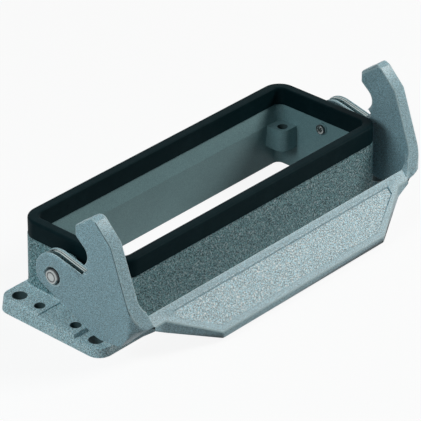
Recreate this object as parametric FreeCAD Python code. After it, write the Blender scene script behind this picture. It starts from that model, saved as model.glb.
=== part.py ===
"""Bulkhead housing of a heavy duty rectangular connector with its locking lever open.

The housing is one casting: a fixing flange, a tall open wall with a seat for the contact
insert, four screw bosses and two pivot bosses. One long cast lever turns on two pins and
carries laminated spring leaves in its forked ends. The frame's origin is the centre of the
mounting face, X runs along the housing, the lever's finger plate is on the -Y side.
"""
import FreeCAD, Part
import math
import os

V = FreeCAD.Vector

# Driving dimensions, mm. Screws of the contact insert and their bosses
insert_spacing_x = 104.0
insert_spacing_y = 27.0
boss_radius = 3.0
boss_depth = 7.6
insert_hole_radius = 1.65
insert_hole_depth = 6.4

# Housing wall, out from the insert's screws
wall_margin_x = 6.4
wall_margin_y = 7.7
wall_corner_radius = 4.3
wall_lean = 0.3
wall_thickness = 2.1
wall_foot_radius = 0.8
cavity_corner_radius = 2.2
cavity_foot_inset = 0.35
cavity_top_inset = 0.4
waist_inset_x = 0.75
waist_inset_y = 1.6
rim_thickness = 1.2

# Heights, each above the one before it
flange_thickness = 4.9
seat_above_flange = 11.3
shoulder_above_seat = 5.8
rim_above_shoulder = 3.6
pivot_below_shoulder = 3.0

# Fixing flange, out from the wall
fixing_offset_x = 6.6
flange_margin_x = 4.5
flange_step_y = 0.6
fixing_inset_y = 5.8
flange_corner_radius = 4.5
flange_side_inset = 0.6
flange_edge_radius = 0.6
fixing_hole_radius = 2.3
side_hole_radius = 1.65
side_hole_spacing_y = 15.0
label_recess_depth = 0.45
label_recess_y_max = 4.4
lever_land_y = -10.8
lever_land_depth = 1.9

# Rim gasket
gasket_height = 6.0
gasket_outer_leg = 1.35
gasket_inner_leg = 0.9
gasket_corner_radius = 6.2
gasket_edge_radius = 0.8
gasket_inner_bevel = 0.5

# Panel gasket in the underside
panel_gasket_width = 1.3
panel_gasket_depth = 1.1
panel_gasket_inset = 1.0

# Pivots
pin_radius = 2.55
pin_clearance = 0.05
pin_dome_radius = 2.1
pin_dome_length = 0.9
pin_standoff = 0.75
pin_tail_radius = 1.2
pin_tail_length = 2.0
pin_tail_flare = 0.4
pin_tail_end = 0.5
pin_tail_bore_radius = 0.8
pin_tail_bore_depth = 1.8
pivot_boss_radius = 4.4
pivot_boss_length = 3.3
pivot_boss_foot_width = 5.4
pivot_boss_foot_length = 1.5
inner_boss_radius = 2.1
inner_boss_height = 0.1
bore_sink = 0.45

# Locking lever. Its side view is in (y, z) from the pivot's axis
arm_gap = 0.3
arm_thickness = 4.6
ear_radius = 7.35
ear_slope = 13.0
ear_edge_radius = 0.7
jaw_center = (-10.4, 12.3)
jaw_radius = 4.0
jaw_low_angle = 222.0
jaw_back_angle = 184.0
jaw_high_angle = 135.0
jaw_bevel = 0.8
hook_chin = (-9.9, 17.9)
hook_tip = (-9.9, 21.5)
hook_notch = (-13.1, 24.2)
hook_notch_radius = 0.6
hook_shoulder = (-16.3, 26.35)
hook_brow = (-18.2, 25.6)
hook_elbow = (-24.2, 19.5)
hook_edge_radius = 1.1
arm_foot = (-17.5, -14.1)
arm_foot_radius = 6.0
arm_toe_length = 6.6
arm_toe_drop = 4.3
belly_slope = 23.6
front_gap = 11.8
front_low_z = -7.3
front_foot_drop = 1.4
front_wall = 4.3
frame_corner_x = 8.5
frame_corner_y = 3.4
frame_inner_radius = 5.6
frame_back_radius = 3.0
frame_low_radius = 8.0
frame_low_rise = 0.4
bar_end_inset = 3.7
bar_cheek_slope = 45.0
bar_height = 4.1
bar_depth = 5.2

# Finger plate and its grip panel
plate_slope = 47.1
plate_reach = 11.3
plate_top_inset = 8.2
plate_low_inset = 24.7
plate_corner_radius = 2.4
lip_height = 2.1
lip_root = 4.0
grip_depth = 0.7
grip_top_inset = 4.2
grip_low_inset = 1.3
grip_bend_offset = 1.0
grip_margin_top = 2.4
grip_margin_low = 1.9
grip_corner_radius = 2.0

# Forked lever ends and their spring leaves
fork_skin = 1.1
fork_slot = 2.9
fork_end_y = -11.9
socket_center = (-13.3, 7.7)
socket_radius = 1.25
socket_low_angle = -60.0
socket_back_angle = 180.0
socket_high_angle = 75.0
leaf_thickness = 0.5
leaf_gap = 0.25
leaf_count = 2
leaf_end_gap = 0.3
leaf_eye_inset = 0.2
leaf_tip_height = 3.0
leaf_tip_radius = 1.2

# How far a cut runs past the face it opens, and how near two places count as one
overrun = 1.0
nearness = 0.05
quarter_turn = 90

os.makedirs("parts", exist_ok=True)


def rounded_rectangle(length, width, radius, z):
    """Closed wire of a rectangle with round corners, centred on the Z axis."""
    a = length / 2
    b = width / 2
    edges = []
    corners = [(a - radius, b - radius), (radius - a, b - radius),
               (radius - a, radius - b), (a - radius, radius - b)]
    for index, (cx, cy) in enumerate(corners):
        start = index * quarter_turn
        end = start + quarter_turn
        edges.append(Part.makeCircle(radius, V(cx, cy, z), V(0, 0, 1), start, end))
        nx, ny = corners[(index + 1) % len(corners)]
        angle = math.radians(end)
        p = V(cx + radius * math.cos(angle), cy + radius * math.sin(angle), z)
        q = V(nx + radius * math.cos(angle), ny + radius * math.sin(angle), z)
        edges.append(Part.makeLine(p, q))
    return Part.Wire(Part.__sortEdges__(edges))


def rounded_block(length, width, radius, z_low, z_high):
    face = Part.Face(rounded_rectangle(length, width, radius, z_low))
    return face.extrude(V(0, 0, z_high - z_low))


def leaning_block(length, width, radius, lean, z_low, z_high):
    """Rounded block whose sides lean in by the draft of the casting towards its top."""
    low = rounded_rectangle(length, width, radius, z_low)
    high = rounded_rectangle(length - 2 * lean, width - 2 * lean, radius - lean, z_high)
    return Part.makeLoft([low, high], True, True)


def inset_cavity(inset_x, inset_y, z):
    """Outline of the cavity at one height, inset from the rim's inner face."""
    length = cavity_length - 2 * inset_x
    width = cavity_width - 2 * inset_y
    return rounded_rectangle(length, width, cavity_corner_radius, z)


def bow_block(half_x, front_y, corner_x, corner_y, back_y, reach):
    """Upright block whose two front corners are rounded by quarters of an oval in plan."""
    centre_x = half_x - corner_x
    centre_y = front_y + corner_y
    quarter = math.radians(quarter_turn)
    right = Part.ArcOfEllipse(Part.Ellipse(V(centre_x, centre_y, -reach), corner_x, corner_y), -quarter, 0)
    left = Part.ArcOfEllipse(Part.Ellipse(V(-centre_x, centre_y, -reach), corner_x, corner_y),
                             2 * quarter, 3 * quarter)
    corners = [V(half_x, centre_y, -reach), V(half_x, back_y, -reach), V(-half_x, back_y, -reach),
               V(-half_x, centre_y, -reach)]
    edges = [Part.makeLine(p, q) for p, q in zip(corners, corners[1:])]
    edges += [left.toShape(), right.toShape()]
    edges.append(Part.makeLine(V(-centre_x, front_y, -reach), V(centre_x, front_y, -reach)))
    return Part.Face(Part.Wire(Part.__sortEdges__(edges))).extrude(V(0, 0, 2 * reach))


def box(x_low, x_high, y_low, y_high, z_low, z_high):
    return Part.makeBox(x_high - x_low, y_high - y_low, z_high - z_low, V(x_low, y_low, z_low))


def cylinder_z(radius, x, y, z_low, z_high):
    return Part.makeCylinder(radius, z_high - z_low, V(x, y, z_low), V(0, 0, 1))


def cylinder_x(radius, x_low, x_high, y, z):
    return Part.makeCylinder(radius, x_high - x_low, V(x_low, y, z), V(1, 0, 0))


def side_prism(outline, x_low, x_high):
    """Extrude a closed YZ outline, a list of points or edges, from x_low to x_high."""
    if isinstance(outline[0], tuple):
        points = [V(x_low, y, z) for y, z in outline]
        wire = Part.makePolygon(points + [points[0]])
    else:
        wire = Part.Wire(Part.__sortEdges__(outline))
        wire.translate(V(x_low, 0, 0))
    return Part.Face(wire).extrude(V(x_high - x_low, 0, 0))


def fillet_where(shape, radius, chosen):
    """Round the edges that the test picks out."""
    edges = [edge for edge in shape.Edges if chosen(edge)]
    return shape.makeFillet(radius, edges) if edges else shape


def save(shape, node):
    solid = shape.removeSplitter()
    solid = solid.Solids[0] if len(solid.Solids) == 1 else solid
    solid.exportStep("parts/" + node + ".step")
    print(node, "valid", solid.isValid(), "solids", len(solid.Solids), "volume", round(solid.Volume, 1))
    return solid


# Values that follow from the driving dimensions
body_length = insert_spacing_x + 2 * wall_margin_x
body_width = insert_spacing_y + 2 * wall_margin_y
body_half_x = body_length / 2
foot_length = body_length + 2 * wall_lean
foot_width = body_width + 2 * wall_lean
cavity_length = body_length - 2 * wall_thickness
cavity_width = body_width - 2 * wall_thickness
cavity_half_x = cavity_length / 2
cavity_half_y = cavity_width / 2
waist_half_x = cavity_half_x - waist_inset_x
inner_boss_x = waist_half_x - inner_boss_height
rim_length = cavity_length + 2 * rim_thickness
rim_width = cavity_width + 2 * rim_thickness
rim_radius = cavity_corner_radius + rim_thickness
fixing_spacing_x = body_length + 2 * fixing_offset_x
flange_length = fixing_spacing_x + 2 * flange_margin_x
flange_width = body_width + 2 * flange_step_y
fixing_spacing_y = flange_width - 2 * fixing_inset_y
seat_height = flange_thickness + seat_above_flange
shoulder_height = seat_height + shoulder_above_seat
rim_height = shoulder_height + rim_above_shoulder
pivot_height = shoulder_height - pivot_below_shoulder
boss_face_x = body_half_x + pivot_boss_length
arm_inner = boss_face_x + arm_gap
arm_outer = arm_inner + arm_thickness
bore_radius = pin_radius + pin_clearance
axis_point = (0.0, 0.0)
front_low = (-flange_width / 2 - front_gap, front_low_z)
front_foot = (front_low[0], front_low[1] - front_foot_drop)
arm_toe = (front_foot[0] + arm_toe_length, front_foot[1] - arm_toe_drop)
front_slope = math.atan2(hook_elbow[1] - front_low[1], hook_elbow[0] - front_low[0])
bar_half_length = arm_inner - bar_end_inset
plate_top_half = arm_inner - plate_top_inset
plate_low_half = arm_inner - plate_low_inset
leaf_eye_radius = ear_radius - leaf_eye_inset


def for_side(shape, side):
    """The shape as built for the +X end, or its mirror image for the -X end."""
    return shape if side > 0 else shape.mirror(V(0, 0, 0), V(1, 0, 0))


def make_shell():
    """Flange, wall and thin rim as one block, before it is hollowed out."""
    flange = leaning_block(flange_length, flange_width, flange_corner_radius, flange_side_inset,
                           0, flange_thickness)
    flange = fillet_where(flange, flange_edge_radius,
                          lambda e: e.BoundBox.ZMin > flange_thickness - nearness)
    body = leaning_block(foot_length, foot_width, wall_corner_radius + wall_lean, wall_lean,
                         0, shoulder_height)
    shell = flange.fuse(body)
    shell = fillet_where(shell, wall_foot_radius,
                         lambda e: abs(e.BoundBox.ZMin - flange_thickness) < nearness
                         and e.BoundBox.ZLength < nearness
                         and e.BoundBox.XLength < nearness
                         and abs(e.BoundBox.XMax) < body_half_x + overrun)
    return shell.fuse(rounded_block(rim_length, rim_width, rim_radius, 0, rim_height))


def make_cavity():
    """Space for the insert: narrowest at the seat, wider to the mounting face and to the rim."""
    foot = inset_cavity(cavity_foot_inset, cavity_foot_inset, 0)
    waist = inset_cavity(waist_inset_x, waist_inset_y, seat_height)
    top = inset_cavity(cavity_top_inset, cavity_top_inset, shoulder_height)
    rim = rounded_block(cavity_length, cavity_width, cavity_corner_radius,
                        shoulder_height, rim_height + overrun)
    return Part.makeLoft([foot, waist], True, True).fuse([Part.makeLoft([waist, top], True, True), rim])


def make_outer_pivot_boss():
    boss = cylinder_x(pivot_boss_radius, cavity_half_x, boss_face_x, 0, pivot_height)
    foot = box(cavity_half_x, boss_face_x - pivot_boss_foot_length, -pivot_boss_foot_width / 2,
               pivot_boss_foot_width / 2, flange_thickness / 2, pivot_height)
    return boss.fuse(foot)


def make_insert_boss():
    """Screw boss of the +X +Y corner, flush with the seat and joined to both walls."""
    x = insert_spacing_x / 2
    y = insert_spacing_y / 2
    low = seat_height - boss_depth
    post = cylinder_z(boss_radius, x, y, low, seat_height)
    to_end_wall = box(x, cavity_half_x, y - boss_radius, y + boss_radius, low, seat_height)
    to_side_wall = box(x - boss_radius, x + boss_radius, y, cavity_half_y, low, seat_height)
    corner = box(x, cavity_half_x, y, cavity_half_y, low, seat_height)
    boss = post.fuse([to_end_wall, to_side_wall, corner])
    boss = boss.common(rounded_block(cavity_length, cavity_width, cavity_corner_radius, 0, seat_height))
    return boss.cut(cylinder_z(insert_hole_radius, x, y, seat_height - insert_hole_depth,
                               seat_height + overrun))


def make_flange_cuts():
    """Holes, label recess and lever land of the +X end of the flange."""
    x = fixing_spacing_x / 2
    top = flange_thickness + overrun
    cuts = []
    for side in (-1, 1):
        cuts.append(cylinder_z(fixing_hole_radius, x, side * fixing_spacing_y / 2, -overrun, top))
        cuts.append(cylinder_z(side_hole_radius, x, side * side_hole_spacing_y / 2, -overrun, top))
    low_x = foot_length / 2 + wall_foot_radius
    high_x = flange_length / 2 + overrun
    cuts.append(box(low_x, high_x, lever_land_y, label_recess_y_max,
                    flange_thickness - label_recess_depth, top))
    cuts.append(box(low_x, high_x, -flange_width, lever_land_y, flange_thickness - lever_land_depth, top))
    return cuts[0].fuse(cuts[1:])


def make_housing():
    shell = make_shell()
    for side in (-1, 1):
        shell = shell.fuse(for_side(make_outer_pivot_boss(), side))
    shell = shell.cut(make_cavity())
    inner_boss = cylinder_x(inner_boss_radius, inner_boss_x, body_half_x, 0, pivot_height)
    bore = cylinder_x(pin_radius, inner_boss_x + pin_tail_length, boss_face_x + overrun, 0, pivot_height)
    bore = bore.fuse(cylinder_x(pin_tail_radius, inner_boss_x - overrun, body_half_x, 0, pivot_height))
    for side in (-1, 1):
        insert_boss = for_side(make_insert_boss(), side)
        shell = shell.fuse([insert_boss, insert_boss.mirror(V(0, 0, 0), V(0, 1, 0))])
        shell = shell.fuse(for_side(inner_boss, side))
        shell = shell.cut(for_side(bore, side))
        shell = shell.cut(for_side(make_flange_cuts(), side))
    return shell.cut([make_rim_gasket(), make_panel_gasket()])


def make_panel_gasket():
    """Seal in the groove round the cavity, flush with the mounting face."""
    length = foot_length - 2 * panel_gasket_inset
    width = foot_width - 2 * panel_gasket_inset
    outer = rounded_block(length, width, wall_corner_radius, 0, panel_gasket_depth)
    inner = rounded_block(length - 2 * panel_gasket_width, width - 2 * panel_gasket_width,
                          wall_corner_radius - panel_gasket_width, 0, panel_gasket_depth)
    return outer.cut(inner)


def make_rim_gasket():
    """Channel-section seal pushed over the rim of the wall."""
    top = shoulder_height + gasket_height
    below = shoulder_height - overrun
    length = cavity_length - 2 * gasket_inner_leg
    width = cavity_width - 2 * gasket_inner_leg
    ring = rounded_block(rim_length + 2 * gasket_outer_leg, rim_width + 2 * gasket_outer_leg,
                         gasket_corner_radius, shoulder_height, top)
    ring = fillet_where(ring, gasket_edge_radius, lambda e: e.BoundBox.ZMin > top - nearness)
    hole = rounded_block(length, width, cavity_corner_radius, below, top)
    mouth = leaning_block(length, width, cavity_corner_radius, -gasket_inner_bevel,
                          top - gasket_inner_bevel, top)
    ring = ring.cut([hole, mouth])
    rim = rounded_block(rim_length, rim_width, rim_radius, below, rim_height)
    return ring.cut(rim.cut(rounded_block(cavity_length, cavity_width, cavity_corner_radius,
                                          below, rim_height)))


def make_pin():
    """Pivot pin of the +X end, fixed in the wall, domed outside and flared over inside."""
    dome_x = arm_outer + pin_standoff - pin_dome_length
    shank = cylinder_x(pin_radius, inner_boss_x + pin_tail_length, dome_x, 0, pivot_height)
    tail = cylinder_x(pin_tail_radius, inner_boss_x, inner_boss_x + pin_tail_length, 0, pivot_height)
    dome = Part.makeCone(pin_radius, pin_dome_radius, pin_dome_length,
                         V(dome_x, 0, pivot_height), V(1, 0, 0))
    flare = Part.makeCone(pin_tail_radius, pin_tail_radius + pin_tail_flare, pin_tail_flare,
                          V(inner_boss_x, 0, pivot_height), V(-1, 0, 0))
    end_x = inner_boss_x - pin_tail_flare - pin_tail_end
    end = cylinder_x(pin_tail_radius + pin_tail_flare, end_x, inner_boss_x - pin_tail_flare, 0, pivot_height)
    pin = shank.fuse([tail, dome, flare, end])
    return pin.cut(cylinder_x(pin_tail_bore_radius, end_x - overrun, end_x + pin_tail_bore_depth,
                              0, pivot_height))


def line(p, q):
    return Part.makeLine(V(0, *p), V(0, *q))


def arc_through(p, middle, q):
    return Part.Arc(V(0, *p), V(0, *middle), V(0, *q)).toShape()


def on_circle(center, radius, degrees):
    angle = math.radians(degrees)
    return (center[0] + radius * math.cos(angle), center[1] + radius * math.sin(angle))


def along_slope(p, degrees, y):
    """Point at this Y on the line through p that rises towards +Y at the given slope."""
    return (y, p[1] + (y - p[0]) * math.tan(math.radians(degrees)))


def slope_leaves_circle(p, degrees, center, radius):
    """Point where the line through p at this slope leaves the circle, on the +Y side."""
    dy = math.cos(math.radians(degrees))
    dz = math.sin(math.radians(degrees))
    oy = p[0] - center[0]
    oz = p[1] - center[1]
    half = oy * dy + oz * dz
    reach = math.sqrt(half * half - (oy * oy + oz * oz - radius * radius)) - half
    return (p[0] + reach * dy, p[1] + reach * dz)


def arm_outline():
    """Side view of an arm: ear, seat of the spring leaves, jaw, hook, front face and foot."""
    top_touch = on_circle(axis_point, ear_radius, 90 + ear_slope)
    fork_end = along_slope(top_touch, ear_slope, fork_end_y)
    socket_low = on_circle(socket_center, socket_radius, socket_low_angle)
    socket_back = on_circle(socket_center, socket_radius, socket_back_angle)
    socket_high = on_circle(socket_center, socket_radius, socket_high_angle)
    jaw_low = on_circle(jaw_center, jaw_radius, jaw_low_angle)
    jaw_back = on_circle(jaw_center, jaw_radius, jaw_back_angle)
    jaw_high = on_circle(jaw_center, jaw_radius, jaw_high_angle)
    belly_end = slope_leaves_circle(arm_foot, belly_slope, axis_point, ear_radius)
    return [
        line(top_touch, fork_end),
        line(fork_end, socket_low),
        arc_through(socket_low, socket_back, socket_high),
        line(socket_high, jaw_low),
        arc_through(jaw_low, jaw_back, jaw_high),
        line(jaw_high, hook_chin),
        line(hook_chin, hook_tip),
        line(hook_tip, hook_shoulder),
        line(hook_shoulder, hook_brow),
        line(hook_brow, hook_elbow),
        line(hook_elbow, front_low),
        line(front_low, front_foot),
        line(front_foot, arm_toe),
        line(arm_toe, arm_foot),
        line(arm_foot, belly_end),
        arc_through(belly_end, on_circle(axis_point, ear_radius, 0), top_touch),
    ]


def side_corner(shape, place):
    """Edges that run along X through one corner of the side view."""
    return [edge for edge in shape.Edges
            if all(abs(v.Y - place[0]) < nearness and abs(v.Z - place[1]) < nearness
                   for v in edge.Vertexes)]


def on_arm_face(edge, x, y_min, z_min, z_max):
    """Whether an edge lies in the arms' faces at this distance and within these limits."""
    limits = edge.BoundBox
    return (min(abs(limits.XMin), abs(limits.XMax)) > x - nearness and limits.XLength < nearness
            and max(abs(limits.XMin), abs(limits.XMax)) < x + nearness
            and limits.YMin > y_min - nearness and limits.ZMin > z_min - nearness
            and limits.ZMax < z_max + nearness)


def round_corners(shape, places, radius):
    for place in places:
        shape = shape.makeFillet(radius, side_corner(shape, place))
    return shape


def plate_point(reach, drop=0.0):
    """Point of the finger plate's face below the frame's lower front edge, or drop under it."""
    angle = math.radians(plate_slope)
    return (front_low[0] - reach * math.cos(angle), front_low[1] - reach * math.sin(angle) - drop)


def upright_prism(points):
    """Prism of an XY outline, mirrored about the YZ plane, taller than the lever."""
    corners = [V(x, y, front_low[0]) for x, y in points + [(-x, y) for x, y in reversed(points)]]
    return Part.Face(Part.makePolygon(corners + [corners[0]])).extrude(V(0, 0, -2 * front_low[0]))


def make_frame():
    """The lever's two arms and the front wall between them, before the finger plate."""
    frame = side_prism(arm_outline(), -arm_outer, arm_outer)
    frame = round_corners(frame, (hook_chin, hook_tip, hook_shoulder, hook_brow), hook_edge_radius)
    frame = round_corners(frame, (arm_foot,), arm_foot_radius)
    frame = fillet_where(frame, ear_edge_radius,
                         lambda e: on_arm_face(e, arm_outer, fork_end_y, -ear_radius, ear_radius))
    reach = -front_low[0]
    outer = bow_block(arm_outer, front_low[0], frame_corner_x, frame_corner_y, reach, reach)
    between = bow_block(arm_inner, front_wall, frame_inner_radius, frame_inner_radius, reach, reach)
    between.rotate(V(0, 0, 0), V(1, 0, 0), math.degrees(front_slope))
    between.translate(V(0, *front_low))
    back_y = plate_point(-bar_height)[0]
    behind = bow_block(arm_inner, back_y, frame_back_radius, frame_back_radius, reach, reach)
    notch = cylinder_x(hook_notch_radius, -arm_outer, arm_outer, *hook_notch)
    corner = make_low_corner()
    frame = frame.common(outer).cut([between, behind, notch, make_bar_cut(), corner, for_side(corner, -1)])
    jaw_end_y = on_circle(jaw_center, jaw_radius, jaw_back_angle)[0]
    jaw_end_z = on_circle(jaw_center, jaw_radius, jaw_low_angle)[1]
    bevelled = [edge for edge in frame.Edges
                if on_arm_face(edge, arm_inner, jaw_end_y, jaw_end_z, hook_tip[1])]
    return frame.makeChamfer(jaw_bevel, bevelled)


def make_low_corner():
    """What rounds the frame's lower corner in front view; it runs out towards the arm's foot."""
    x = arm_outer - frame_low_radius
    z = front_low[1] + frame_low_rise + frame_low_radius
    depth = 2 * frame_low_radius
    face = box(x, x + depth, front_low[0], front_low[0] + nearness, z - depth, z).Faces
    face = min(face, key=lambda f: f.CenterOfMass.y)
    disc = Part.Face(Part.Wire(Part.makeCircle(frame_low_radius, V(x, front_low[0], z), V(0, 1, 0))))
    return face.cut(disc).extrude(V(depth, depth, -depth))


def make_bar_cut():
    """Room above the finger plate's top edge, widening upwards to both arms."""
    height = bar_height / math.tan(math.radians(bar_cheek_slope))
    corners = [V(-bar_half_length, 0, 0), V(bar_half_length, 0, 0),
               V(bar_half_length + height, 0, bar_height), V(-bar_half_length - height, 0, bar_height)]
    cut = Part.Face(Part.makePolygon(corners + [corners[0]])).extrude(V(0, bar_height + overrun, 0))
    cut.rotate(V(0, 0, 0), V(1, 0, 0), plate_slope)
    cut.translate(V(0, *front_low))
    return cut


def make_plate():
    """Finger plate: a sloping tongue with an upright lip, cut to its outline in plan."""
    back_top = plate_point(-bar_height)
    tip = plate_point(plate_reach)
    root = plate_point(0, lip_root)
    tongue = side_prism([back_top, tip, (tip[0], tip[1] - lip_height), root,
                         (back_top[0], back_top[1] - bar_depth)], -bar_half_length, bar_half_length)
    outline = upright_prism([(bar_half_length, back_top[0]), (bar_half_length, front_low[0]),
                             (plate_top_half, front_low[0]), (plate_low_half, tip[0])])
    outline = fillet_where(outline, plate_corner_radius, lambda e: e.BoundBox.YMax < tip[0] + nearness)
    plate = tongue.common(outline)
    low = root[1] - overrun
    corners = [V(plate_top_half, tip[0], root[1]), V(bar_half_length, tip[0], front_foot[1]),
               V(arm_outer, tip[0], front_foot[1]), V(arm_outer, tip[0], low),
               V(plate_top_half, tip[0], low)]
    taper = Part.Face(Part.makePolygon(corners + [corners[0]])).extrude(V(0, back_top[0] - tip[0], 0))
    return plate.cut([taper, for_side(taper, -1)])


def make_grip_recess():
    """Grip panel: its floor is deepest at the top and runs out level at the bottom."""
    top_reach = grip_margin_top - bar_height
    top_half = plate_top_half - grip_top_inset
    low_half = plate_low_half - grip_low_inset
    top = plate_point(top_reach)
    bend = plate_point(grip_bend_offset)
    low = plate_point(plate_reach - grip_margin_low)
    wedge = side_prism([top, plate_point(top_reach, grip_depth), low, (low[0], top[1])], -top_half, top_half)
    outline = upright_prism([(top_half, top[0] + overrun), (top_half, bend[0]), (low_half, low[0])])
    outline = fillet_where(outline, grip_corner_radius, lambda e: e.BoundBox.YMax < low[0] + nearness)
    return wedge.common(outline)


def fork_start(side):
    """Lower X of the slot: at both ends the thick skin is on the -X side of it."""
    return (arm_inner if side > 0 else -arm_outer) + fork_skin


def at_pivot(shape):
    """Move a piece of the lever from its own axes to the pivots."""
    shape.translate(V(0, 0, pivot_height))
    return shape


def make_lever():
    lever = make_frame().fuse(make_plate()).cut(make_grip_recess())
    bore = cylinder_x(bore_radius, arm_inner - overrun, arm_outer + overrun, 0, 0)
    sink = Part.makeCone(bore_radius, bore_radius + bore_sink, bore_sink,
                         V(arm_outer - bore_sink, 0, 0), V(1, 0, 0))
    bore = bore.fuse(sink)
    for side in (-1, 1):
        start = fork_start(side)
        slot = box(start, start + fork_slot, fork_end_y, ear_radius + overrun,
                   -ear_radius - overrun, ear_radius + overrun)
        lever = lever.cut([slot, for_side(bore, side)])
    return at_pivot(lever)


def make_leaf(side, number):
    """One spring leaf: an eye round the pin and a tongue that reaches under the jaw."""
    x_high = fork_start(side) + fork_slot - number * (leaf_thickness + leaf_gap) - leaf_gap
    x_low = x_high - leaf_thickness
    top_touch = on_circle(axis_point, leaf_eye_radius, 90 + ear_slope)
    tip_top = along_slope(top_touch, ear_slope, fork_end_y + leaf_end_gap)
    tip_low = (tip_top[0], tip_top[1] - leaf_tip_height)
    eye_low = on_circle(axis_point, leaf_eye_radius, 270 - ear_slope)
    tongue = side_prism([top_touch, tip_top, tip_low, eye_low], x_low, x_high)
    tongue = round_corners(tongue, (tip_top, tip_low), leaf_tip_radius)
    leaf = tongue.fuse(cylinder_x(leaf_eye_radius, x_low, x_high, 0, 0))
    return at_pivot(leaf.cut(cylinder_x(bore_radius, x_low - overrun, x_high + overrun, 0, 0)))


save(make_housing(), "housing")
save(make_rim_gasket(), "rim_gasket")
save(make_panel_gasket(), "panel_gasket")
save(make_lever(), "locking_lever")
for side, name in ((-1, "left"), (1, "right")):
    save(for_side(make_pin(), side), "pivot_pin_" + name)
    for number in range(leaf_count):
        save(make_leaf(side, number), "spring_leaf_" + name + "_" + str(number + 1))
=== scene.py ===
import math

import bmesh
import bpy
from mathutils import Matrix, Vector


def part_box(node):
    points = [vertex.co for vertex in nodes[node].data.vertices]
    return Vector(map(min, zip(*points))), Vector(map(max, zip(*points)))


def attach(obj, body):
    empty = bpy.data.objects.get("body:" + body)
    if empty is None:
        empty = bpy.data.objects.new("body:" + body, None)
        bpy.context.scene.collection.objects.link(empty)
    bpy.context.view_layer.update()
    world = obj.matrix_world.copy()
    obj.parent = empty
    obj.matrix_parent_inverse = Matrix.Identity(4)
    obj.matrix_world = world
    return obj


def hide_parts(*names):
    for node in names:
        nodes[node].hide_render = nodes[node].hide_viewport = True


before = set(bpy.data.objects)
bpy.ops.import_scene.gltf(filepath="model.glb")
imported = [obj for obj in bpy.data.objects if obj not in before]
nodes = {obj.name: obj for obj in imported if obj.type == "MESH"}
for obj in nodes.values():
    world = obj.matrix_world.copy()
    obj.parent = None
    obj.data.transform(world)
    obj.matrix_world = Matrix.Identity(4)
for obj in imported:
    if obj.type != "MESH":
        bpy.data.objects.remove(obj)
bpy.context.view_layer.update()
scene = bpy.context.scene
mm = 0.001
print("frame loaded with", len(nodes), "nodes")

# camera, solved from the edges and holes that show
cameraView = {
    "azimuth": -47.773,
    "elevation": 30.320,
    "roll": 0.042,
    "distance": 939.91 * mm,
    "across": 1.743 * mm,
    "above": 10.910 * mm,
    "lens": 257.84,
    "sensor": 36.0,
    "farEnd": 20.0,
}


def makeCamera(view):
    azimuth, elevation, roll = (math.radians(view[name]) for name in ("azimuth", "elevation", "roll"))
    back = Vector((math.sin(azimuth) * math.cos(elevation), -math.cos(azimuth) * math.cos(elevation),
                   math.sin(elevation)))
    level = Vector((0, 0, 1)).cross(back).normalized()
    upright = back.cross(level)
    right = level * math.cos(roll) + upright * math.sin(roll)
    above = upright * math.cos(roll) - level * math.sin(roll)
    data = bpy.data.cameras.new("mainCamera")
    data.lens = view["lens"]
    data.sensor_width = view["sensor"]
    data.clip_end = view["farEnd"]
    camera = bpy.data.objects.new("mainCamera", data)
    scene.collection.objects.link(camera)
    place = back * view["distance"] + right * view["across"] + above * view["above"]
    camera.matrix_world = Matrix.Translation(place) @ Matrix((right, above, back)).transposed().to_4x4()
    scene.camera = camera


makeCamera(cameraView)
scene.view_settings.view_transform = "Standard"
print("camera placed")


# small helpers for the node trees
def addNode(tree, kind, place, inputs=None, **settings):
    node = tree.nodes.new(kind)
    node.location = place
    for name, value in settings.items():
        setattr(node, name, value)
    for name, value in (inputs or {}).items():
        if isinstance(value, bpy.types.NodeSocket):
            tree.links.new(value, node.inputs[name])
        else:
            node.inputs[name].default_value = value
    return node


def addMath(tree, operation, first, second=0.0, place=(0, 0), clamp=False):
    inputs = {0: first, 1: second}
    return addNode(tree, "ShaderNodeMath", place, inputs, operation=operation, use_clamp=clamp).outputs[0]


def addVector(tree, operation, inputs, place):
    return addNode(tree, "ShaderNodeVectorMath", place, inputs, operation=operation).outputs


def mixColours(tree, share, first, second, place=(0, 0), blend="MIX"):
    inputs = {0: share, 6: first, 7: second}
    return addNode(tree, "ShaderNodeMix", place, inputs, data_type="RGBA", blend_type=blend).outputs[2]


def mixValues(tree, share, first, second, place=(0, 0)):
    return addNode(tree, "ShaderNodeMix", place, {0: share, 2: first, 3: second}).outputs[0]


def spread(tree, value, low, high, place=(0, 0), newLow=0.0, newHigh=1.0):
    inputs = {"Value": value, "From Min": low, "From Max": high, "To Min": newLow, "To Max": newHigh}
    return addNode(tree, "ShaderNodeMapRange", place, inputs).outputs[0]


# 1 between low and high, 0 outside them
def bandMask(tree, value, low, high, soft, place):
    rising = spread(tree, value, low - soft, low + soft, place)
    falling = spread(tree, value, high - soft, high + soft, (place[0], place[1] - 250), 1.0, 0.0)
    return addMath(tree, "MULTIPLY", rising, falling, (place[0] + 200, place[1]))


def newGroup(name, inputs, outputs):
    group = bpy.data.node_groups.new(name, "ShaderNodeTree")
    for label, kind, value in inputs:
        socket = group.interface.new_socket(name=label, in_out="INPUT", socket_type=kind)
        socket.default_value = value
    for label, kind in outputs:
        group.interface.new_socket(name=label, in_out="OUTPUT", socket_type=kind)
    start = addNode(group, "NodeGroupInput", (-1200, 0))
    end = addNode(group, "NodeGroupOutput", (900, 0))
    return group, start, end


def useGroup(tree, group, place, inputs):
    return addNode(tree, "ShaderNodeGroup", place, inputs, node_tree=group)


def newMaterial(name, sockets):
    material = bpy.data.materials.new(name)
    material.use_nodes = True
    shader = material.node_tree.nodes["Principled BSDF"]
    shader.location = (600, 0)
    material.node_tree.nodes["Material Output"].location = (900, 0)
    for socket, value in sockets.items():
        shader.inputs[socket].default_value = value
    return material, material.node_tree, shader


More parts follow.
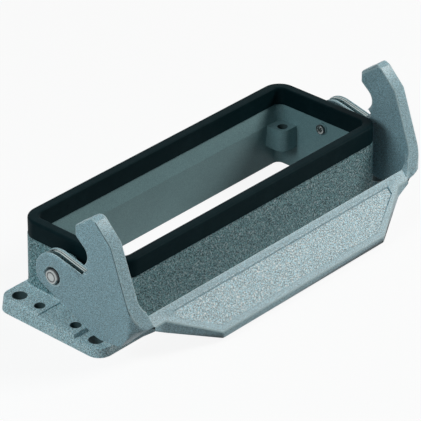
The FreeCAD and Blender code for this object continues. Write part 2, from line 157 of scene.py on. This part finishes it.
def joinShader(tree, shader, colour, rough, height, depth):
    bump = addNode(tree, "ShaderNodeBump", (350, -350), {"Height": height, "Distance": depth})
    tree.links.new(colour, shader.inputs["Base Color"])
    tree.links.new(rough, shader.inputs["Roughness"])
    tree.links.new(bump.outputs["Normal"], shader.inputs["Normal"])


# powder coat: orange peel, pale specks where the grain's tops catch light, and faint blotches
coatPattern = {
    "turn": (0.5, 0.4, 0.3),
    "finerBy": 1.9,
    "blotchScale": 70.0,
    "tops": (0.53, 0.68),
    "hollows": (0.38, 0.62),
    "blotches": (0.3, 0.7),
    "blotchShades": (0.96, 1.04),
    "dullSpots": (0.35, 0.65),
    "dullness": (0.85, 1.15),
    "fineShare": 0.35,
}


def makePowderCoatGroup(look):
    group, start, end = newGroup(
        "powderCoat",
        [("Colour", "NodeSocketColor", (0.4, 0.47, 0.5, 1)),
         ("Pale Colour", "NodeSocketColor", (0.8, 0.85, 0.85, 1)),
         ("Grain Scale", "NodeSocketFloat", 1500.0), ("Specks", "NodeSocketFloat", 0.3),
         ("Shade", "NodeSocketFloat", 0.2), ("Roughness", "NodeSocketFloat", 0.45)],
        [("Colour", "NodeSocketColor"), ("Roughness", "NodeSocketFloat"), ("Height", "NodeSocketFloat")])
    place = addNode(group, "ShaderNodeTexCoord", (-1400, -400)).outputs["Object"]
    # turned, so that no flat face follows the noise's own grid
    place = addNode(group, "ShaderNodeMapping", (-1200, -400),
                    {"Vector": place, "Rotation": look["turn"]}).outputs[0]
    scale = start.outputs["Grain Scale"]
    peel = addNode(group, "ShaderNodeTexNoise", (-900, 100),
                   {"Vector": place, "Scale": scale, "Detail": 2.0, "Roughness": 0.55}).outputs[0]
    fineScale = addMath(group, "MULTIPLY", scale, look["finerBy"], (-1000, -200))
    fine = addNode(group, "ShaderNodeTexNoise", (-900, -200),
                   {"Vector": place, "Scale": fineScale, "Detail": 1.0, "Roughness": 0.5}).outputs[0]
    blotchInputs = {"Vector": place, "Scale": look["blotchScale"], "Detail": 3.0, "Roughness": 0.6}
    blotch = addNode(group, "ShaderNodeTexNoise", (-900, -500), blotchInputs).outputs[0]
    tops = spread(group, peel, *look["tops"], (-650, 100))
    speck = addMath(group, "MULTIPLY", tops, start.outputs["Specks"], (-450, 100), clamp=True)
    hollows = spread(group, fine, *look["hollows"], (-650, -200), 1.0, -1.0)
    dark = addMath(group, "MULTIPLY", hollows, start.outputs["Shade"], (-450, -200))
    level = addMath(group, "SUBTRACT", 1.0, dark, (-250, -200))
    cloud = spread(group, blotch, *look["blotches"], (-650, -500), *look["blotchShades"])
    level = addMath(group, "MULTIPLY", level, cloud, (-50, -300))
    base = mixColours(group, 1.0, start.outputs["Colour"], level, (150, 100), "MULTIPLY")
    colour = mixColours(group, speck, base, start.outputs["Pale Colour"], (350, 100))
    dull = spread(group, fine, *look["dullSpots"], (-450, -700), *look["dullness"])
    rough = addMath(group, "MULTIPLY", dull, start.outputs["Roughness"], (150, -600), clamp=True)
    height = mixValues(group, look["fineShare"], peel, fine, (350, -300))
    group.links.new(colour, end.inputs["Colour"])
    group.links.new(rough, end.inputs["Roughness"])
    group.links.new(height, end.inputs["Height"])
    return group


powderCoat = makePowderCoatGroup(coatPattern)


# housing casting: coarse grain on the walls' outside, whose darker tone is painted shade; pale specks on the
# flange, whose paler tone is painted light; smooth in the cavity; the bores darkened as painted shade
housingFinish = {
    "specular": 0.18,
    # one coat in three tones: the walls' darker tone is painted shade, the flange's paler tone is painted
    # light
    "wallGrainAndPaintedShade": {"Colour": (0.145, 0.265, 0.285, 1), "Pale Colour": (0.62, 0.73, 0.76, 1),
                  "Grain Scale": 1850.0, "Specks": 0.85, "Shade": 1.0, "Roughness": 0.5},
    "flangeGrainAndPaintedLight": {"Colour": (0.52, 0.69, 0.74, 1), "Pale Colour": (0.92, 1.0, 1.0, 1),
                    "Grain Scale": 1700.0, "Specks": 0.9, "Shade": 0.48, "Roughness": 0.45},
    "cavityGrain": {"Colour": (0.21, 0.335, 0.355, 1), "Pale Colour": (0.62, 0.73, 0.76, 1),
                    "Grain Scale": 2100.0, "Specks": 0.05, "Shade": 0.14, "Roughness": 0.45},
    "flangeTop": 5.0 * mm,
    "flangeFade": 0.3 * mm,
    "bores": (((65.0 * mm, 16.0 * mm), 2.3 * mm), ((65.0 * mm, 7.5 * mm), 1.65 * mm),
              ((52.0 * mm, 13.5 * mm), 1.65 * mm)),
    "boreFade": (0.02 * mm, 0.15 * mm),
    # painted shade in the bores
    "borePaintedShade": 0.35,
    "cavityHalf": (56.6 * mm, 19.4 * mm),
    "cavityFade": 0.2 * mm,
    "cavityDepthShare": 0.25,
    "grainDepth": 0.11 * mm,
}


def makeHousingMaterial(look):
    material, tree, shader = newMaterial("housingCoat", {"Specular IOR Level": look["specular"]})
    wall = useGroup(tree, powderCoat, (-400, 300), look["wallGrainAndPaintedShade"])
    flange = useGroup(tree, powderCoat, (-400, 600), look["flangeGrainAndPaintedLight"])
    cavity = useGroup(tree, powderCoat, (-400, -100), look["cavityGrain"])
    place = addNode(tree, "ShaderNodeTexCoord", (-1400, 0)).outputs["Object"]
    axes = addNode(tree, "ShaderNodeSeparateXYZ", (-1200, 0), {0: place})
    fade = look["cavityFade"]
    masks = []
    for index, half in enumerate(look["cavityHalf"]):
        away = addMath(tree, "ABSOLUTE", axes.outputs[index], 0.0, (-1000, -200 * index))
        masks.append(spread(tree, away, half - fade, half + fade, (-800, -200 * index)))
    outside = addMath(tree, "MAXIMUM", masks[0], masks[1], (-600, 0))
    # holes are folded into one quarter; clear is 0 in their bores, which are darkened as painted shade
    folded = addVector(tree, "ABSOLUTE", {0: place}, (-1200, -700))[0]
    flat = addVector(tree, "MULTIPLY", {0: folded, 1: (1, 1, 0)}, (-1000, -700))[0]
    begin, full = look["boreFade"]
    clear = 1.0
    for index, (centre, radius) in enumerate(look["bores"]):
        row = -700 - 200 * index
        away = addVector(tree, "DISTANCE", {0: flat, 1: (*centre, 0)}, (-800, row))[1]
        solid = spread(tree, away, radius + begin, radius + full, (-600, row))
        clear = addMath(tree, "MULTIPLY", clear, solid, (-400, row))
    outside = addMath(tree, "MULTIPLY", outside, clear, (-200, -500))
    low = spread(tree, axes.outputs[2], look["flangeTop"], look["flangeTop"] + look["flangeFade"],
                 (-800, 600), 1.0, 0.0)
    # the flange's paler tone is painted light, the walls' darker tone is painted shade
    colour = mixColours(tree, low, wall.outputs["Colour"], flange.outputs["Colour"], (-150, 400))
    colour = mixColours(tree, outside, cavity.outputs["Colour"], colour, (0, 200))
    # painted shade: the bores drawn darker
    shade = spread(tree, clear, 0.0, 1.0, (0, 400), look["borePaintedShade"], 1.0)
    colour = mixColours(tree, 1.0, colour, shade, (200, 300), "MULTIPLY")
    rough = mixValues(tree, outside, cavity.outputs["Roughness"], wall.outputs["Roughness"], (0, 0))
    height = mixValues(tree, low, wall.outputs["Height"], flange.outputs["Height"], (-150, -300))
    height = mixValues(tree, outside, cavity.outputs["Height"], height, (0, -200))
    share = mixValues(tree, outside, look["cavityDepthShare"], 1.0, (0, -400))
    height = addMath(tree, "MULTIPLY", share, height, (200, -300))
    joinShader(tree, shader, colour, rough, height, look["grainDepth"])
    return material


# lever casting: fine coat, and a coarse sparkling grain in the sunk grip panel; its rounded edges get a
# painted highlight, and a painted shade line along the parting line
leverFinish = {
    "specular": 0.3,
    "coatGrain": {"Colour": (0.325, 0.485, 0.545, 1), "Pale Colour": (0.90, 0.91, 0.88, 1),
                  "Grain Scale": 2500.0, "Specks": 0.22, "Shade": 0.5, "Roughness": 0.36},
    "panelGrain": {"Colour": (0.325, 0.485, 0.545, 1), "Pale Colour": (0.90, 0.91, 0.88, 1),
                   "Grain Scale": 2200.0, "Specks": 1.0, "Shade": 0.9, "Roughness": 0.42},
    # painted highlight on the rounded edges, and painted shade along the parting line
    "edgeHighlightShare": 0.55,
    "edgeHighlightColour": (0.60, 0.73, 0.75, 1),
    "lineShadeShare": 0.75,
    "lineShadeColour": (0.05, 0.09, 0.10, 1),
    "panelTop": -32.25 * mm,
    "panelLow": -40.0 * mm,
    "panelHalfTop": 49.5 * mm,
    "panelBend": -33.8 * mm,
    "panelHalfLow": 36.2 * mm,
    "panelFade": 0.12 * mm,
    "panelFacing": (0.3, 0.5),
    "coatDepthShare": 0.3,
    "grainDepth": 0.10 * mm,
}


def makeLeverMaterial(look):
    material, tree, shader = newMaterial("leverCoat", {"Specular IOR Level": look["specular"]})
    coat = useGroup(tree, powderCoat, (-400, 300), look["coatGrain"])
    panel = useGroup(tree, powderCoat, (-400, -100), look["panelGrain"])
    place = addNode(tree, "ShaderNodeTexCoord", (-1600, 0)).outputs["Object"]
    axes = addNode(tree, "ShaderNodeSeparateXYZ", (-1400, 0), {0: place})
    face = addNode(tree, "ShaderNodeNewGeometry", (-1400, -600)).outputs["True Normal"]
    upward = addNode(tree, "ShaderNodeSeparateXYZ", (-1200, -600), {0: face}).outputs[2]
    away = addMath(tree, "ABSOLUTE", axes.outputs[0], 0.0, (-1200, 200))
    fade = look["panelFade"]
    half = spread(tree, axes.outputs[1], look["panelLow"], look["panelBend"], (-1200, 0),
                  look["panelHalfLow"], look["panelHalfTop"])
    within = spread(tree, addMath(tree, "SUBTRACT", half, away, (-1000, 200)), -fade, fade, (-800, 200))
    across = bandMask(tree, axes.outputs[1], look["panelLow"], look["panelTop"], fade, (-1000, -100))
    mask = addMath(tree, "MULTIPLY", within, across, (-600, 100))
    facing = spread(tree, upward, *look["panelFacing"], (-800, -600))
    mask = addMath(tree, "MULTIPLY", mask, facing, (-500, 0))
    colour = mixColours(tree, mask, coat.outputs["Colour"], panel.outputs["Colour"], (0, 200))
    # painted highlight on the rounded edges, and a dark painted shade line along the parting line
    paintedEdgeLight = addNode(tree, "ShaderNodeAttribute", (-400, 700), attribute_name="paintedEdgeLightAndShade").outputs["Fac"]
    pale = addMath(tree, "MULTIPLY", paintedEdgeLight, look["edgeHighlightShare"], (-200, 700), clamp=True)
    line = addMath(tree, "MULTIPLY", paintedEdgeLight, -look["lineShadeShare"], (-200, 500), clamp=True)
    colour = mixColours(tree, pale, colour, look["edgeHighlightColour"], (150, 400))
    colour = mixColours(tree, line, colour, look["lineShadeColour"], (300, 300))
    rough = mixValues(tree, mask, coat.outputs["Roughness"], panel.outputs["Roughness"], (0, 0))
    height = mixValues(tree, mask, coat.outputs["Height"], panel.outputs["Height"], (0, -200))
    share = mixValues(tree, mask, look["coatDepthShare"], 1.0, (0, -400))
    height = addMath(tree, "MULTIPLY", share, height, (200, -300))
    joinShader(tree, shader, colour, rough, height, look["grainDepth"])
    return material


# rubber seals: near black with a soft sheen and a little dust
rubberFinish = {
    "specular": 0.03,
    "colour": (0.003, 0.013, 0.016, 1),
    "dustColour": (0.006, 0.019, 0.023, 1),
    "dustScale": 140.0,
    "dustPatches": (0.48, 0.75),
    "roughness": (0.45, 0.60),
    "skinScale": 2600.0,
    "skinDepth": 0.03 * mm,
}


def makeRubberMaterial(look):
    material, tree, shader = newMaterial("sealRubber", {"Specular IOR Level": look["specular"]})
    place = addNode(tree, "ShaderNodeTexCoord", (-900, 0)).outputs["Object"]
    skin = addNode(tree, "ShaderNodeTexNoise", (-700, -200),
                   {"Vector": place, "Scale": look["skinScale"], "Detail": 2.0}).outputs[0]
    dust = addNode(tree, "ShaderNodeTexNoise", (-700, 200),
                   {"Vector": place, "Scale": look["dustScale"], "Detail": 5.0, "Roughness": 0.7}).outputs[0]
    cover = spread(tree, dust, *look["dustPatches"], (-450, 200))
    colour = mixColours(tree, cover, look["colour"], look["dustColour"], (0, 200))
    rough = spread(tree, skin, 0.3, 0.7, (0, 0), *look["roughness"])
    joinShader(tree, shader, colour, rough, skin, look["skinDepth"])
    return material


# bright stainless pins and spring leaves, with fine rolling lines
steelFinish = {
    "pinSteel": {"colour": (0.46, 0.50, 0.50, 1), "patchColour": (0.368, 0.40, 0.40, 1),
                 "roughness": (0.16, 0.30), "stretch": (1.0, 1.0, 1.0)},
    "springSteel": {"colour": (0.42, 0.50, 0.50, 1), "patchColour": (0.336, 0.40, 0.40, 1),
                    "roughness": (0.22, 0.38), "stretch": (1.0, 0.15, 1.0)},
    "lineScale": 3200.0,
    "lineDepth": 0.01 * mm,
    "patchScale": 380.0,
}
# a turned groove in the pin's face, round the pivot axis, darkened as painted shade, and the pin's side
# darkened as painted shade
pinRing = {
    "axisHeight": 19.0 * mm,
    "radius": 1.5 * mm,
    "width": 0.4 * mm,
    "depth": 0.12 * mm,
    # painted shade in the groove
    "colour": (0.10, 0.11, 0.115, 1),
    "faceRadius": 2.15 * mm,
    "sideShadeColour": (0.05, 0.055, 0.058, 1),
}


def makeSteelMaterial(name, ring=None):
    look = steelFinish[name]
    material, tree, shader = newMaterial(name, {"Metallic": 1.0})
    place = addNode(tree, "ShaderNodeTexCoord", (-1100, 0)).outputs["Object"]
    drawn = addNode(tree, "ShaderNodeMapping", (-900, 0),
                    {"Vector": place, "Scale": look["stretch"]}).outputs[0]
    lines = addNode(tree, "ShaderNodeTexNoise", (-700, 0),
                    {"Vector": drawn, "Scale": steelFinish["lineScale"], "Detail": 3.0}).outputs[0]
    patches = addNode(tree, "ShaderNodeTexNoise", (-700, -300),
                      {"Vector": place, "Scale": steelFinish["patchScale"], "Detail": 2.0}).outputs[0]
    patch = spread(tree, patches, 0.3, 0.7, (-450, 200))
    colour = mixColours(tree, patch, look["colour"], look["patchColour"], (0, 200))
    rough = spread(tree, lines, 0.3, 0.7, (0, 0), *look["roughness"])
    height = addMath(tree, "MULTIPLY", lines, steelFinish["lineDepth"], (0, -300))
    if ring:
        axes = addNode(tree, "ShaderNodeSeparateXYZ", (-1100, -500), {0: place})
        rise = addMath(tree, "SUBTRACT", axes.outputs[2], ring["axisHeight"], (-900, -600))
        flat = addNode(tree, "ShaderNodeCombineXYZ", (-700, -500), {1: axes.outputs[1], 2: rise}).outputs[0]
        radius = addVector(tree, "LENGTH", {0: flat}, (-500, -500))[1]
        half = ring["width"] / 2
        groove = bandMask(tree, radius, ring["radius"] - half, ring["radius"] + half, ring["width"] / 3,
                          (-300, -500))
        side = spread(tree, radius, ring["faceRadius"], ring["faceRadius"] + half, (-300, 500))
        # painted shade in the groove and on the pin's side
        colour = mixColours(tree, groove, colour, ring["colour"], (150, 200))
        colour = mixColours(tree, side, colour, ring["sideShadeColour"], (300, 200))
        sunk = addMath(tree, "MULTIPLY", groove, ring["depth"], (0, -600))
        height = addMath(tree, "SUBTRACT", height, sunk, (150, -300))
    joinShader(tree, shader, colour, rough, height, 1.0)
    return material


housingCoat = makeHousingMaterial(housingFinish)
leverCoat = makeLeverMaterial(leverFinish)
sealRubber = makeRubberMaterial(rubberFinish)
pinSteel = makeSteelMaterial("pinSteel", pinRing)
springSteel = makeSteelMaterial("springSteel")
print("materials made")


# CAD nodes keep their shapes and take these finishes
finishOfNode = {
    "housing": housingCoat,
    "locking_lever": leverCoat,
    "rim_gasket": sealRubber,
    "panel_gasket": sealRubber,
}
for name, piece in nodes.items():
    material = finishOfNode.get(name, pinSteel if name.startswith("pivot_pin") else springSteel)
    if piece.material_slots:
        for slot in piece.material_slots:
            slot.material = material
    else:
        piece.data.materials.append(material)
print("CAD nodes dressed")


# a finished piece: smooth, with edges above the given angle kept sharp
def makePiece(shape, name, material, sharpLine):
    mesh = bpy.data.meshes.new(name)
    shape.to_mesh(mesh)
    shape.free()
    mesh.shade_smooth()
    mesh.set_sharp_from_angle(angle=sharpLine)
    mesh.materials.append(material)
    piece = bpy.data.objects.new(name, mesh)
    scene.collection.objects.link(piece)
    evenNormals = piece.modifiers.new("evenNormals", "WEIGHTED_NORMAL")
    evenNormals.keep_sharp = True
    return piece


# seals: a ring with round corners, in plan a row of bands from the outside in
rimSeal = {
    "node": "rim_gasket",
    "slot": "rim_rubber",
    "cornerRadius": 6.2 * mm,
    "bands": (1.35 * mm, 1.2 * mm, 0.9 * mm),
    "channelBand": 1,
    "channelDepth": 3.6 * mm,
    "roundedSide": 1,
    "outerRound": 0.8 * mm,
    "innerRound": 0.5 * mm,
}
panelSeal = {
    "node": "panel_gasket",
    "slot": "panel_rubber",
    "cornerRadius": 4.3 * mm,
    "bands": (0.65 * mm, 0.65 * mm),
    "channelBand": None,
    "roundedSide": 0,
    "outerRound": 0.3 * mm,
    "innerRound": 0.3 * mm,
}
sealMesh = {
    "cornerSteps": 12,
    "roundSteps": 5,
    "sharpLine": math.radians(40),
    "squareEdge": math.radians(80),
    "levelSlack": 0.001 * mm,
}


# right-angled edges at this level; the outer ring has its side face further out than its flat one
def sealEdges(shape, level, outside):
    found = []
    for edge in shape.edges:
        if len(edge.link_faces) != 2 or edge.calc_face_angle(0) < sealMesh["squareEdge"]:
            continue
        if any(abs(v.co.z - level) > sealMesh["levelSlack"] for v in edge.verts):
            continue
        side = min(edge.link_faces, key=lambda face: abs(face.normal.z))
        middle = (edge.verts[0].co + edge.verts[1].co) / 2
        facesOut = side.normal.x * middle.x + side.normal.y * middle.y > 0
        if facesOut == outside:
            found.append(edge)
    return found


def raiseFaces(shape, faces, height, keepFloor):
    geometry = bmesh.ops.extrude_face_region(shape, geom=faces, use_keep_orig=keepFloor)["geom"]
    raised = [v for v in geometry if isinstance(v, bmesh.types.BMVert)]
    bmesh.ops.translate(shape, verts=raised, vec=(0, 0, height))


def makeSeal(name, look):
    low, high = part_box(look["node"])
    shape = bmesh.new()
    bmesh.ops.create_grid(shape, x_segments=1, y_segments=1, size=1)
    bmesh.ops.scale(shape, verts=shape.verts, vec=(high[0], high[1], 1))
    bmesh.ops.translate(shape, verts=shape.verts, vec=(0, 0, low[2]))
    bmesh.ops.bevel(shape, geom=shape.verts[:], offset=look["cornerRadius"], offset_type="OFFSET",
                    segments=sealMesh["cornerSteps"], profile=0.5, affect="VERTICES", material=-1)
    middle = shape.faces[:]
    bands = []
    for width in look["bands"]:
        bands.append(bmesh.ops.inset_region(shape, faces=middle, thickness=width, use_even_offset=True,
                                            use_boundary=True)["faces"])
    bmesh.ops.delete(shape, geom=middle, context="FACES")
    raiseFaces(shape, shape.faces[:], high[2] - low[2], True)
    if look["channelBand"] is not None:
        raiseFaces(shape, bands[look["channelBand"]], look["channelDepth"], False)
    bmesh.ops.recalc_face_normals(shape, faces=shape.faces)
    level = (low[2], high[2])[look["roundedSide"]]
    for edgeRound, outside in ((look["outerRound"], True), (look["innerRound"], False)):
        bmesh.ops.bevel(shape, geom=sealEdges(shape, level, outside), offset=edgeRound, offset_type="OFFSET",
                        segments=sealMesh["roundSteps"], profile=0.5, affect="EDGES", material=-1,
                        clamp_overlap=True)
    piece = makePiece(shape, name, sealRubber, sealMesh["sharpLine"])
    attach(piece, "housing_body")
    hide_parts(look["node"])


makeSeal("rimSeal", rimSeal)
makeSeal("panelSeal", panelSeal)
print("seals made")


# lever: the CAD shape with its sharp edges slightly rounded, so that they catch light
leverShape = {
    "node": "locking_lever",
    "slot": "coated_lever",
    "mergeWithin": 0.002 * mm,
    "flatAngle": math.radians(0.5),
    "sharpAngle": math.radians(32),
    "edgeRound": 0.36 * mm,
    "roundSteps": 2,
    "sharpLine": math.radians(35),
    "frontEnd": -19.0 * mm,
    "panelMargin": 0.5 * mm,
    "lowest": -0.25,  # in front, the least upward normal beside a rounded edge
    "outermost": 0.62,  # the parting line's faces look outwards by at least this
    "foremost": -0.2,  # and forwards by at least this
}


def inPanel(point, margin, look):
    slope = (look["panelHalfTop"] - look["panelHalfLow"]) / (look["panelBend"] - look["panelLow"])
    half = min(look["panelHalfLow"] + (point.y - look["panelLow"]) * slope, look["panelHalfTop"])
    return look["panelLow"] - margin < point.y < look["panelTop"] + margin and abs(point.x) < half + margin


# convex edges that get a rounding: not those round the grip panel, nor those under the front
def leverEdges(shape, look):
    found = []
    for edge in shape.edges:
        if len(edge.link_faces) != 2 or not edge.is_convex or edge.calc_face_angle(0) < look["sharpAngle"]:
            continue
        if inPanel((edge.verts[0].co + edge.verts[1].co) / 2, look["panelMargin"], leverFinish):
            continue
        behind = min(v.co.y for v in edge.verts) > look["frontEnd"]
        if behind or min(face.normal.z for face in edge.link_faces) > look["lowest"]:
            found.append(edge)
    return found


def makeLever(name, look):
    shape = bmesh.new()
    shape.from_mesh(nodes[look["node"]].data)
    edgeLightAndShade = shape.faces.layers.float.new("paintedEdgeLightAndShade")
    bmesh.ops.remove_doubles(shape, verts=shape.verts, dist=look["mergeWithin"])
    bmesh.ops.dissolve_limit(shape, angle_limit=look["flatAngle"], verts=shape.verts, edges=shape.edges)
    rounded = bmesh.ops.bevel(shape, geom=leverEdges(shape, look), offset=look["edgeRound"],
                              offset_type="OFFSET", segments=look["roundSteps"], profile=0.5, affect="EDGES",
                              material=-1, loop_slide=True, clamp_overlap=False)["faces"]
    # 1 where a rounded edge gets a painted highlight, -1 where the rounded edge beside the arms' outer faces
    # gets a dark painted shade line along the parting line
    for face in rounded:
        outward = face.normal.x * face.calc_center_median().x > 0 and abs(face.normal.x) > look["outermost"]
        face[edgeLightAndShade] = -1.0 if outward and face.normal.y < look["foremost"] else 1.0
    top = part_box(look["node"])[1][2]
    for vertex in shape.verts:
        vertex.co.z = min(vertex.co.z, top)
    piece = makePiece(shape, name, leverCoat, look["sharpLine"])
    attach(piece, "lever_body")
    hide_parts(look["node"])


makeLever("lever", leverShape)
print("lever made")


# floor and light
studio = {
    "floorHalf": 3.0,
    "floorColour": (0.96, 0.96, 0.96, 1),
    "bounceColour": (0.30, 0.31, 0.31, 1),
    "floorRoughness": 0.9,
    "floorDrop": 0.2 * mm,
    "shadowShare": 0.10,
    "skyLevel": 0.05,
    "skyColour": (0.90, 0.97, 1.0, 1),
    "lights": {
        "rightLight": {"place": (0.58, -0.42, 0.56), "size": 0.36, "power": 5.2, "colour": (1, 1, 0.97)},
        "leftLight": {"place": (-0.34, 0.05, 0.26), "size": 0.20, "power": 0.63, "colour": (0.82, 0.97, 1)},
        "topLight": {"place": (0.0, 0.05, 0.95), "size": 0.50, "power": 0.3, "colour": (1, 1, 1)},
    },
}


# 1 for what is seen directly, in a gloss or through glass
def addSeen(tree, place):
    rays = addNode(tree, "ShaderNodeLightPath", place).outputs
    seen = addMath(tree, "MAXIMUM", rays["Is Camera Ray"], rays["Is Glossy Ray"], (place[0] + 200, place[1]))
    return addMath(tree, "MAXIMUM", seen, rays["Is Transmission Ray"], (place[0] + 400, place[1]))


def makeFloor(look):
    mesh = bpy.data.meshes.new("studioFloor")
    shape = bmesh.new()
    bmesh.ops.create_grid(shape, x_segments=1, y_segments=1, size=look["floorHalf"])
    bmesh.ops.translate(shape, verts=shape.verts, vec=(0, 0, -look["floorDrop"]))
    shape.to_mesh(mesh)
    shape.free()
    floor = bpy.data.objects.new("studioFloor", mesh)
    scene.collection.objects.link(floor)
    material, tree, shader = newMaterial("floorPaper", {"Roughness": look["floorRoughness"],
                                                        "Specular IOR Level": 0.0})
    seen = addSeen(tree, (300, 400))
    paper = mixColours(tree, seen, look["bounceColour"], look["floorColour"], (300, 0))
    tree.links.new(paper, shader.inputs["Base Color"])
    share = addMath(tree, "MULTIPLY", seen, 1.0 - look["shadowShare"], (850, 400))
    glow = addNode(tree, "ShaderNodeEmission", (600, 200), {"Color": (1, 1, 1, 1), "Strength": 1.0})
    mixed = addNode(tree, "ShaderNodeMixShader", (1050, 100),
                    {0: share, 1: shader.outputs[0], 2: glow.outputs[0]})
    output = tree.nodes["Material Output"]
    output.location = (1250, 100)
    tree.links.new(mixed.outputs[0], output.inputs["Surface"])
    mesh.materials.append(material)


def makeSky(look):
    world = bpy.data.worlds.new("studioSky")
    world.use_nodes = True
    scene.world = world
    tree = world.node_tree
    tree.nodes.clear()
    seen = addSeen(tree, (-800, 300))
    soft = addNode(tree, "ShaderNodeBackground", (-200, 0),
                   {"Color": look["skyColour"], "Strength": look["skyLevel"]})
    white = addNode(tree, "ShaderNodeBackground", (-200, -200), {"Color": (1, 1, 1, 1), "Strength": 1.0})
    mixed = addNode(tree, "ShaderNodeMixShader", (0, 0), {0: seen, 1: soft.outputs[0], 2: white.outputs[0]})
    output = addNode(tree, "ShaderNodeOutputWorld", (200, 0))
    tree.links.new(mixed.outputs[0], output.inputs["Surface"])


def makeLight(name, look):
    data = bpy.data.lights.new(name, "AREA")
    data.shape = "DISK"
    data.size = look["size"]
    data.energy = look["power"]
    data.color = look["colour"]
    light = bpy.data.objects.new(name, data)
    scene.collection.objects.link(light)
    place = Vector(look["place"])
    light.matrix_world = Matrix.Translation(place) @ place.to_track_quat("Z", "Y").to_matrix().to_4x4()


makeFloor(studio)
makeSky(studio)
for lightName, lightLook in studio["lights"].items():
    makeLight(lightName, lightLook)
print("studio ready")
